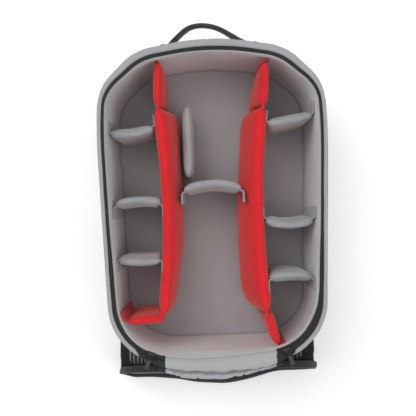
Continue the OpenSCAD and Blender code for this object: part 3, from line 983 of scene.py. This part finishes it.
def build_sliders():
    radius = FOOT_R - (WALL_T + INNER_INSET) / 2
    for side, word in ((-1, "left"), (1, "right")):
        bottom = cad(f"zip_slider_{word}")[0][2]
        lower = block([-0.4, 0, 1.2], (8.4, 17, 2.0))
        upper = block([-0.6, 0, 4.2], (6.4, 15, 1.8))
        neck = block([0, 4.5, 2.6], (3.2, 5, 2.6))
        arch = [[-0.6, -6, 4.6], [0.2, -4.8, 6.2], [1.0, 0, 7.4], [0.2, 3.8, 6.2], [-0.6, 5, 4.8]]
        bridge = tube(smooth_line(arch, 16), 1.0, 8, up=(1, 0, 0))
        parts = [at_corner(r, side, radius, bottom - 0.2) for r in (lower, upper, neck, bridge)]
        node = f"zip_slider_{word}"
        joined(f"{node}_metal", parts, METAL, f"slider_{word}", "slider_metal", node)

        low, high = cad(f"zip_pull_{word}")
        z = (low[2] + high[2]) / 2 + 1.3
        turn = np.linspace(0, 2 * math.pi, 25)[:-1]
        loop = np.array([[RING_X + 1.8 * math.cos(a), 1.8 * math.sin(a), 0] for a in turn])
        ring = tube(np.vstack([loop, loop[:1]]), 0.6, 8)
        tab = block([14.2, 0, 0.4], (13.6, 6.4, 1.8), 6)
        tip = block([20.4, 0, 0.4], (6.5, 7.4, 2.4), 4)
        for rings in (tab, tip):
            rings[..., 2] += 0.14 * (rings[..., 0] - RING_X)
        parts = [at_corner(r, side, radius, z) for r in (ring, tab, tip)]
        node = f"zip_pull_{word}"
        joined(f"{node}_tab", parts, PLASTIC, f"pull_{word}", "buckle_plastic", node)

    low, high = cad("pocket_zip_slider")
    centre = [(a + b) / 2 for a, b in zip(low, high)]
    plate = block([0, 0, 0], (13.5, 9.5, 2.2))
    arch = tube([[-5, 0, 0.8], [-4, 0, 2.2], [0, 0, 2.6], [4, 0, 2.2], [5, 0, 0.8]], 0.9, 8, up=(0, 1, 0))

    def on_pocket(rings):
        rings = np.array(rings)
        x, y, z = rings[..., 0], rings[..., 1], rings[..., 2]
        return np.stack([centre[0] + x, low[1] + 1.4 + z, centre[2] + y], axis=-1)

    joined(
        "pocket_slider_metal", [on_pocket(plate), on_pocket(arch)], METAL,
        "pocket_slider", "slider_metal", "pocket_zip_slider",
    )
    low, high = cad("pocket_zip_pull")
    centre = [(a + b) / 2 for a, b in zip(low, high)]
    tab = block(centre, (5.2, high[1] - low[1], 2.2), 5)
    joined("pocket_pull_tab", [tab], PLASTIC, "pocket_pull", "buckle_plastic", "pocket_zip_pull")


# ---- Lid ----

LID_EDGE = WALL_T + 1.5
FOLD_X0, FOLD_X1 = -181, 177
LOWER_CORNERS = [
    (FOLD_X0, FOLD_Y - 0.5, 19), (-FOOT_HALF_W + LID_EDGE, -FOOT_Y + LID_EDGE, FOOT_R - LID_EDGE),
    (FOOT_HALF_W - LID_EDGE, -FOOT_Y + LID_EDGE, FOOT_R - LID_EDGE), (FOLD_X1, FOLD_Y - 0.5, 19),
]
UPPER_CORNERS = (
    [(0, TOP_Y - LID_EDGE, 390)]
    + [(-x + 6.5, y - 6, r) for x, y, r in SIDE_CORNERS[:3]]
    + [(FOLD_X0, FOLD_Y + 0.5, 19), (FOLD_X1, FOLD_Y + 0.5, 19)]
    + [(x - 6.5, y - 6, r) for x, y, r in reversed(SIDE_CORNERS[:3])]
)


def thinning(x, y=0.0):
    """How much thinner the lid is towards its side edges, and at the hinge end under the gusset."""
    left = 6.5 * smooth_step(-x, 30, 120) + 6 * smooth_step(-x, 148, 182)
    right = 11 * smooth_step(x, 30, 125) + 1.5 * smooth_step(x, 150, 176)
    hinge_end = 8 * smooth_step(-y, 185, 236) * smooth_step(x, 0, 70) * (1 - smooth_step(x, 70, 125))
    return left + right + hinge_end


def lid_half(name, corners, place, lining):
    """Half of the lid: a quilted pad, lined on the face towards the bag's inside, and a black edge band."""
    points, normals = rounded_plan(corners, 220)
    rings = pad_rings(points - normals * 9, normals, HINGE_Z + 1.0, FOLD_Z - 1.0, 8, 0.0, 0.5, 12)
    inner_share = np.clip((FOLD_Z - 1 - rings[:, :, 2]) / 18, 0, 1)
    thinner = thinning(rings[:, :, 0], rings[:, :, 1]) * inner_share
    rings[:, :, 2] += 0.5 * ripple(rings, 60, 91.0) * (inner_share > 0.8) + thinner
    pad = loft(
        f"{name}_pad_cloth", place(rings), [lining, DARK], name, "lining", f"{name}_pad", fill=0.5,
    )
    down = place(np.array([[0, 0, 0], [0, 0, -1.0]]))
    outer_face = face_data(pad, "normal") @ (down[1] - down[0]) < 0.25
    pad.data.polygons.foreach_set("material_index", outer_face.astype(int))

    ring = squircle(13, 11, 3.4, 22) + [6.2, HINGE_Z + 13.2]
    rings = along_plan(points, normals, ring)
    rings[:, :, 2] += 0.4 * ripple(rings, 40, 95.0)
    loft(
        f"{name}_edge_band", place(rings), DARK, name, "dark_fabric", f"{name}_binding",
        closed_path=True,
    )
    return points, normals


def lid_zip(name, points, normals, place, body, keep):
    """The lid's half of the zip, along the stretch of its edge where keep is true."""
    order = np.flatnonzero(keep)
    breaks = np.flatnonzero(np.diff(order) > 1)
    if len(breaks):
        order = np.concatenate([order[breaks[0] + 1:], order[: breaks[0] + 1]])
    line, norm = points[order], normals[order]
    ring = squircle(9, 1.5, 4, 12) + [5.0, HINGE_Z + 9.0]
    loft(f"{name}_zip_tape", place(along_plan(line, norm, ring)), ZIP_TAPE, body, "zip_tape")
    parts = [place(r) for r in teeth(line, norm, 2.2, HINGE_Z + 8.4)]
    joined(f"{name}_zip_coil", parts, COIL, body, "zip_tape")


def ribbed_panel(name, xs, ys, zs, pitch, radius, place, body, *nodes, depth=2.2, material=MESH):
    """An air-mesh pad with sewn channels that run lengthwise, in the closed lid's frame."""
    (x0, x1), (y0, y1), (low, high) = xs, ys, zs
    nx = max(20, int((x1 - x0) / pitch * 8))
    ny = 40
    top = []
    for y in np.linspace(y0, y1, ny):
        edge_y = min(y - y0, y1 - y)
        pull = radius - math.sqrt(max(radius ** 2 - max(radius - edge_y, 0) ** 2, 0))
        xs = np.linspace(x0 + pull, x1 - pull, nx)
        edge = np.minimum(np.minimum(xs - xs[0], xs[-1] - xs) + 0.01, edge_y + 0.01)
        round_off = np.sqrt(np.clip(1 - (1 - np.clip(edge / 7, 0, 1)) ** 2, 0, 1))
        rib = abs(np.sin(math.pi * (xs - x0) / pitch)) ** 0.7
        z = low + (high - low) * round_off - depth * (1 - rib) * round_off
        top.append(np.column_stack([xs, np.full(nx, y), z]))
    top = np.array(top)
    under = top.copy()
    under[:, :, 2] = low - 0.3
    rings = np.concatenate([top, under[:, ::-1]], axis=1)
    loft(name, place(rings), material, body, "air_mesh", *nodes, fill=0.6)


def build_lid():
    lower = lid_half("lid_lower", LOWER_CORNERS, on_lower, LID_LINING)
    upper = lid_half("lid_upper", UPPER_CORNERS, on_upper, LINING)
    points, normals = lower
    beside = (points[:, 0] < GUSSET_X[0]) | (points[:, 0] > GUSSET_X[1]) | (points[:, 1] > -200)
    keep = beside & (points[:, 1] < FOLD_Y - 9)
    left = keep & (points[:, 0] < 0)
    right = keep & (points[:, 0] > 0)
    lid_zip("lid_lower_left", points, normals, on_lower, "lid_lower", left)
    lid_zip("lid_lower_right", points, normals, on_lower, "lid_lower", right)
    points, normals = upper
    lid_zip("lid_upper", points, normals, on_upper, "lid_upper", points[:, 1] > FOLD_Y + 9)

    ribbed_panel(
        "lumbar_pad_mesh", (-110, 110), (HINGE_Y + 72, FOLD_Y - 16), (FOLD_Z, FOLD_Z + 9.6), 11, 24,
        on_lower, "lid_lower", "lumbar_pad",
    )
    # The mesh face between the lid's black edges shows at the corners beyond the rim.
    ribbed_panel(
        "harness_mesh_face", (-163.2, 153.6), (FOLD_Y + 4, 190), (FOLD_Z - 1.2, FOLD_Z + 1.8),
        RIB_PITCH, 10, on_upper, "lid_upper", depth=2.0, material=RIBS_LIT_AND_SHADED,
    )
    for side, word in ((-1, "left"), (1, "right")):
        ribbed_panel(
            f"back_pad_{word}_mesh", sorted((side * 10, side * 72)), (FOLD_Y + 20, 165),
            (FOLD_Z + 1, FOLD_Z + 13.2), 10.3, 22, on_upper, "lid_upper", f"back_pad_{word}",
        )
        build_strap(side, word)
    corners = [(90, 214, 12), (-90, 214, 12), (-90, 172, 12), (90, 172, 12)]
    points, normals = rounded_plan(corners, 90)
    loft(
        "strap_yoke_cloth", on_upper(pad_rings(points, normals, FOLD_Z + 0.5, FOLD_Z + 5.6, 3)), DARK,
        "lid_upper", "dark_fabric", "strap_yoke",
    )


STRAP_X = 101


def build_strap(side, word):
    """A shoulder strap with a crowned foam core and bound edges; its webbing and ladder buckle come from
    build_strap_fittings().
    """
    ys = np.linspace(-20, 168, 60)
    share = (ys + 20) / 188
    middle = side * (STRAP_X + 9 * np.sin(math.pi * share))
    path = np.column_stack([middle, ys, np.full(len(ys), FOLD_Z + 5.8)])
    width = 41 * np.clip(1 - (2 * share - 1) ** 14 * 0.35, 0.5, 1)
    rings = web(path, (1, 0, 0), width, 10.5, 28, 3.2)
    loft(
        f"shoulder_strap_{word}_foam", on_upper(rings), MESH,
        "lid_upper", "air_mesh", f"shoulder_strap_{word}", fill=0.7,
    )
    parts = []
    for edge in (-1, 1):
        line = path + np.column_stack([edge * width / 2 * 0.97, np.zeros(len(ys)), np.zeros(len(ys))])
        parts.append(on_upper(tube(line, 2.2, 8, 1.3)))
    joined(f"strap_binding_{word}", parts, DARK, "lid_upper", "dark_fabric")


def build_strap_fittings():
    webs, buckles = [], []
    for side in (-1, 1):
        x = side * STRAP_X
        line = [(x, y, FOLD_Z + rise) for y, rise in ((-57, 1.6), (-38, 1.8), (-30, 3.2), (-22, 4))]
        path = resample(np.array(line, float), 16)
        webs.append(on_upper(web(path, (1, 0, 0), 25, 1.8, 16, 5)))
        for y in (-34.5, -28.5, -22.5):
            buckles.append(on_upper(block([x, y, FOLD_Z + 3.2], (29, 2.6, 3.4), 5)))
        for edge in (-1, 1):
            rail = block([x + edge * 14, -28.5, FOLD_Z + 3.2], (3.0, 15, 4.2), 5)
            buckles.append(on_upper(rail))
    joined("strap_webbing_bands", webs, WEB_Y, "lid_upper", "webbing", "strap_webbing")
    joined("strap_ladder_buckles", buckles, PLASTIC, "lid_upper", "buckle_plastic", "strap_buckles")


def build_fold_cover():
    """Black cloth on the outside of the lid's fold, which bulges where the lid is bent double."""
    centre = on_lower(np.array([[0, FOLD_Y, FOLD_Z]]))[0]
    count = 22
    share = np.linspace(0, 1, count)
    arch = np.sin(share * math.pi) ** 0.8
    rings = []
    arc = 0
    for x in np.linspace(FOLD_X0 + 0.5, FOLD_X1 - 0.5, 120):
        skin = LID_T - 1.0 - float(thinning(x))
        start = on_lower(np.array([[0, FOLD_Y - 12, FOLD_Z - skin]]))[0] - centre
        end = on_upper(np.array([[0, FOLD_Y + 22, FOLD_Z - skin]]))[0] - centre
        angles = [math.atan2(v[2], v[1]) % (2 * math.pi) for v in (start, end)]
        angles[1] += 2 * math.pi * (angles[1] < angles[0])
        angle = np.interp(share, (0, 1), angles)
        bulge = 1.0 + 14 * np.exp(-(((x + 2) / 66) ** 2))
        bulge = bulge + 0.9 * math.sin(x / 23.0) + 0.5 * math.sin(x / 9.0)
        radius = np.interp(share, (0, 1), [np.hypot(*start[1:]), np.hypot(*end[1:])])
        thin = np.minimum(radius, skin + 1.5 + 9 * (1 - arch))
        radius = radius * (1 - arch) + thin * arch + bulge * arch
        sides = []
        for depth, floor in ((0, 0.15), (2.2, 0.8)):
            y = centre[1] + (radius - depth) * np.cos(angle)
            z = np.maximum(centre[2] + (radius - depth) * np.sin(angle), floor)
            sides.append(np.column_stack([np.full(count, x), y, z]))
        rings.append(np.vstack([sides[0], sides[1][::-1]]))
        arc = max(arc, np.linalg.norm(np.diff(sides[0], axis=0), axis=1).sum())
    cover = loft("lid_fold_cover", rings, DARK, None, "dark_fabric")
    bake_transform(cover)


# ---- Dividers ----

# Outer face of each red divider: half-width at its middle, bow of its ends, and y of its middle
RED_LEFT = (82, 12, -8)
RED_RIGHT = (77.5, 10.5, -20)


def end_taper(share, length, smallest):
    """Goes from smallest at both ends to 1 over the given share of the length."""
    near = np.minimum(share, 1 - share) / length
    t = np.clip(near, 0, 1)
    return smallest + (1 - smallest) * np.sqrt(1 - (1 - t) ** 2)


def wedge(word, part, outer, side, top_w, belly, ends=(20, 20), pinch=0.4):
    """An upright pad with a firm outer face, and an inner face that bellies out below its top edge.

    outer is the line of the outer face, side the sideways sign of the inner face, belly the
    thickness at mid-height and ends the length over which each end is pinched."""
    outer = smooth_line(outer, 64) if len(outer) < 10 else resample(outer, 64)
    steps = np.concatenate([[0], np.cumsum(np.linalg.norm(np.diff(outer, axis=0), axis=1))])
    tangent = directions(outer)
    inward = np.stack([tangent[:, 1], -tangent[:, 0]], axis=1)
    inward *= np.sign(inward[:, 0] * side)[:, None]
    near = np.minimum(steps / ends[0], (steps[-1] - steps) / ends[1])
    round_off = np.sqrt(1 - (1 - np.clip(near, 0, 1)) ** 2)
    taper = pinch + (1 - pinch) * round_off
    belly = np.interp(np.linspace(0, 1, len(outer)), np.linspace(0, 1, len(belly)), belly)
    full = top_w * taper + (belly - top_w) * (0.12 + 0.88 * round_off)
    start = 0.5 * top_w * (1 - taper)
    half = 24
    t = 0.5 * (1 - np.cos(np.linspace(0, math.pi, half))) * 0.6 + 0.4 * np.linspace(0, 1, half)
    rings = []
    for k, point in enumerate(outer):
        top = RED_TOP_Z - 5 * (1 - taper[k])
        height = top - DIVIDER_Z
        w = top_w * taper[k]
        gap = np.minimum(t, 1 - t) * height / (w * 0.42)
        corner = 0.42 * w * (1 - np.sqrt(1 - (1 - np.clip(gap, 0, 1)) ** 2))
        outer_side = start[k] + corner - 1.0 * np.sin(math.pi * t) * taper[k]
        depth = (1 - t) * height
        swell_out = np.sin(np.clip(depth / (height * 0.60), 0, 1) * math.pi / 2) ** 1.1
        swell_out *= 1 - 0.22 * np.clip((depth / height - 0.6) / 0.4, 0, 1) ** 1.5
        inner_side = start[k] + w + (full[k] - w) * swell_out - corner
        z = DIVIDER_Z + t * height
        one = np.column_stack([point + inward[k] * outer_side[:, None], z])
        two = np.column_stack([point + inward[k] * inner_side[:, None], z])
        rings.append(np.vstack([one, two[::-1]]))
    node = f"red_{word}_{part}"
    swell(loft(f"{node}_pad", rings, RED_PAD, f"red_{word}", "red_divider", node, fill=0.6), 2.5)


def red_line(mid, bow, y_mid, y_low, y_high, side):
    """The outer face of a red divider in plan, from its lower to its upper end."""
    ys = np.linspace(y_low, y_high, 40)
    return np.column_stack([side * (mid + bow * ((ys - y_mid) / 165) ** 2), ys])


def straight(node, a, b, width, top, body, material, slot, taper=(0.12, 0.35), grow=1.0, rise=0.0):
    """A padded panel between two plan points, pinched at its ends."""
    a, b = np.array(a, float), np.array(b, float)
    share = np.linspace(0, 1, 34)
    along = b - a
    across = np.array([-along[1], along[0]]) / np.linalg.norm(along)
    path = a + along * share[:, None] + across * (rise * 4 * share * (1 - share))[:, None]
    pinch = end_taper(share, taper[0], taper[1])
    widths = (width - 1.2) * pinch * (1 + (grow - 1) * share)
    rings = upright_panel(path, widths, DIVIDER_Z, top, 6 * (1 - pinch))
    swell(loft(f"{node}_pad", rings, material, body, slot, node, fill=0.6), 3.0)


def upright_panel(path, widths, low, high, drop, count=40):
    """Rings of a panel on edge whose top and bottom are rounded and whose faces swell a little."""
    path = np.asarray(path, float)
    tangent = directions(path)
    side = np.stack([tangent[:, 1], -tangent[:, 0]], axis=1)
    half = count // 2
    t = (1 - np.cos(np.linspace(0, math.pi, half))) / 2
    t = 0.5 * t + 0.5 * np.linspace(0, 1, half)
    rings = []
    for k in range(len(path)):
        height = high - drop[k] - low
        w = widths[k] / 2
        round_share = np.clip(np.minimum(t, 1 - t) * height / (w * 1.05 + 1e-6), 0, 1)
        shape = np.sqrt(1 - (1 - round_share) ** 2)
        across = np.maximum(w * shape, 0.35)
        z = low + t * height
        one = np.column_stack([path[k] + side[k] * across[:, None], z])
        two = np.column_stack([path[k] - side[k] * across[:, None], z])
        rings.append(np.vstack([one, two[::-1]]))
    return np.array(rings)


def tab(name, points, high, body, material, slot, thickness=2.4):
    """A thin hook-and-loop tab that turns along a wall."""
    path = resample(np.array(points, float), 14)
    smooth = path.copy()
    for _ in range(2):
        smooth[1:-1] = (smooth[:-2] + 2 * smooth[1:-1] + smooth[2:]) / 4
    low = DIVIDER_Z + 3
    path3 = np.column_stack([smooth, np.full(len(smooth), (low + high) / 2)])
    rings = web(path3, (0, 0, 1), high - low, thickness, 20, 7)
    rings[:, :, 2] += 0.8 * ripple(rings, 30, 3.0)
    loft(name, rings, material, body, slot)


def build_reds():
    wedge("left", "main", red_line(*RED_LEFT, -175, 157.5, -1), 1, 13,
          (20, 20.5, 23.5, 26, 26.5, 27, 27, 27.5, 28.5, 32.5, 34))
    wedge("right", "main", red_line(*RED_RIGHT, -177, 154.5, 1), -1, 13,
          (31, 38.5, 38, 37, 36, 35.5, 34.5, 33.5, 33.5, 34, 32), ends=(26, 20))
    wedge("left", "top", [(-90.5, 158.5), (-91, 180), (-88.5, 229)], 1, 12, (15, 13, 12.5, 12), ends=(12, 9))
    wedge("right", "top", [(88, 154.5), (91.5, 180), (93.5, 224)], -1, 12, (25, 23, 17, 13), ends=(12, 9))
    red = RED_PAD, "red_divider"
    straight("red_left_foot", (-85, -180.5), (-145, -183.5), 11, RED_TOP_Z, "red_left", *red)
    straight("red_right_foot", (80.5, -176.5), (95, -228.5), 13, RED_TOP_Z, "red_right", *red, grow=0.85)
    tabs = [
        ("left", "top_tab", [(-80.5, 225.5), (-82, 230), (-88, 234), (-93, 237.0)], 2.4),
        ("left", "upper_fold", [(-88, 150), (-86, 157.5), (-85.5, 166)], 3.6),
        ("left", "lower_fold", [(-91, -168), (-90, -176), (-94, -180)], 3.6),
        ("left", "foot_tab", [(-142, -183), (-148.8, -182), (-152.2, -176), (-153.4, -168)], 2.4),
        ("right", "top_tab", [(79, 219.5), (85, 225.5), (91, 229.5), (95.5, 231.5)], 2.4),
        ("right", "upper_fold", [(82.5, 147), (82.5, 154.5), (83.5, 163)], 3.6),
        ("right", "lower_fold", [(78.5, -168), (78.5, -176), (80, -182)], 3.6),
        ("right", "foot_tab", [(94, -226), (96, -231.0), (102.6, -228.8), (109, -225.6)], 2.4),
    ]
    for word, name, line, thickness in tabs:
        tab(f"red_{word}_{name}", line, RED_TOP_Z - 1.5, f"red_{word}", *red, thickness)


def wall_x(y):
    """Half of the width at a tab that lies on the lining, along the side of the bag."""
    straight_x = FOOT_HALF_W + (HALF_W - FOOT_HALF_W) * (min(y, 110) + FOOT_Y) / (110 + FOOT_Y)
    return straight_x - max(0, y - 110) ** 2 / 673 - INNER_INSET - 0.6


def red_outer(mid, bow, y_mid, y):
    return mid + bow * ((y - y_mid) / 165) ** 2


def build_greys():
    columns = [
        ("left_divider_top", -1, 118, 126, -3, 1), ("left_divider_middle", -1, 2, 4, 5, -1),
        ("left_divider_bottom", -1, -84, -87, -3, -1), ("right_divider_top", 1, 139, 127, -1, 1),
        ("right_divider_middle", 1, -29, -27, -7, 1), ("right_divider_bottom", 1, -124, -123, 4, -1),
    ]
    for node, side, y_wall, y_red, rise, turn in columns:
        red = RED_LEFT if side < 0 else RED_RIGHT

        def at_wall(y):
            return side * wall_x(y)

        def at_red(y):
            return side * (red_outer(*red, y) + 1.2)

        ends = [(at_wall, y_wall), (at_red, y_red)]
        grey(node, ends if side < 0 else ends[::-1], rise, turn)
    grey("centre_divider_cross", [(lambda y: -52.0, 22), (lambda y: 48.5, 22)], 9, -1)
    node = "centre_divider_long"
    straight(node, (-40, 43), (-40, 165), 12, LONG_TOP_Z, f"{node}_body", GREY_PAD, "grey_divider")


def grey(node, ends, rise, turn):
    """A grey divider between two ends, each the x of its wall as a function of y, and a y."""
    look = f"{node}_body", GREY_PAD, "grey_divider"
    (left_x, left_y), (right_x, right_y) = ends
    straight(
        node, (left_x(left_y) + 1.5, left_y), (right_x(right_y) - 1.5, right_y), 12.4,
        GREY_TOP_Z, *look, taper=(0.14, 0.34), rise=rise,
    )
    for word, x_at, y, inward in (("left", left_x, left_y, 1), ("right", right_x, right_y, -1)):
        points = [(x_at(y) + inward * 7, y), (x_at(y) + inward * 1.0, y + turn * 2)]
        points += [(x_at(y + turn * d), y + turn * d) for d in (8, 14, 20.5)]
        tab(f"{node}_{word}_tab", points, GREY_TOP_Z - 2.2, *look)


# ---- Build ----

build_shell()
build_rim()
build_body_zip()
build_lining()
build_gusset()
build_pocket()
build_handle()
build_sliders()
build_lid()
build_strap_fittings()
build_fold_cover()
build_reds()
build_greys()
simulate()

# ---- Stage ----


def area_light(name, place, target, size, power, colour=(1, 1, 1)):
    data = bpy.data.lights.new(name, "AREA")
    data.shape = "DISK"
    data.size = size
    data.energy = power
    data.color = colour
    light = bpy.data.objects.new(name, data)
    light.location = place
    light.rotation_euler = (Vector(target) - Vector(place)).to_track_quat("-Z", "Y").to_euler()
    bpy.context.scene.collection.objects.link(light)


def build_stage():
    n = Nodes("floor_white")
    soft = n.noise(2, 2)
    colour = n.blend(soft, (0.93, 0.93, 0.93), (0.95, 0.95, 0.95))
    floor_material = n.finish(colour, soft, 0.02, 0.1, 0.9)
    n.shader.inputs["Emission Color"].default_value = (1, 1, 1, 1)
    n.shader.inputs["Emission Strength"].default_value = 0.22
    size = 6000
    floor = mesh_object(
        "floor", [(-size, -size, -0.6), (size, -size, -0.6), (size, size, -0.6), (-size, size, -0.6)],
        [(0, 1, 2, 3)], floor_material,
    )
    area_light("key", (-1.1, 1.0, 2.4), (0, 0, 0.1), 1.8, 27)
    area_light("fill", (1.6, -0.8, 2.2), (0, 0, 0.1), 2.2, 14)
    area_light("overhead", (0.1, 0.1, 3.2), (0, 0, 0), 2.6, 22)
    world = bpy.data.worlds.new("studio")
    world.use_nodes = True
    world.node_tree.nodes["Background"].inputs[0].default_value = (1, 1, 1, 1)
    world.node_tree.nodes["Background"].inputs[1].default_value = 0.42
    bpy.context.scene.world = world


def build_camera():
    """Straight above the bag, turned a little about the vertical."""
    data = bpy.data.cameras.new("camera")
    data.sensor_width = 36
    data.lens = 61.57
    camera = bpy.data.objects.new("camera", data)
    camera.location = (-0.0104, -0.006, RIM_Z * MM + 1.11)
    camera.rotation_euler = (0, 0, math.radians(-1.83))
    bpy.context.scene.collection.objects.link(camera)
    bpy.context.scene.camera = camera


build_stage()
build_camera()
bpy.context.scene.view_settings.view_transform = "Standard"
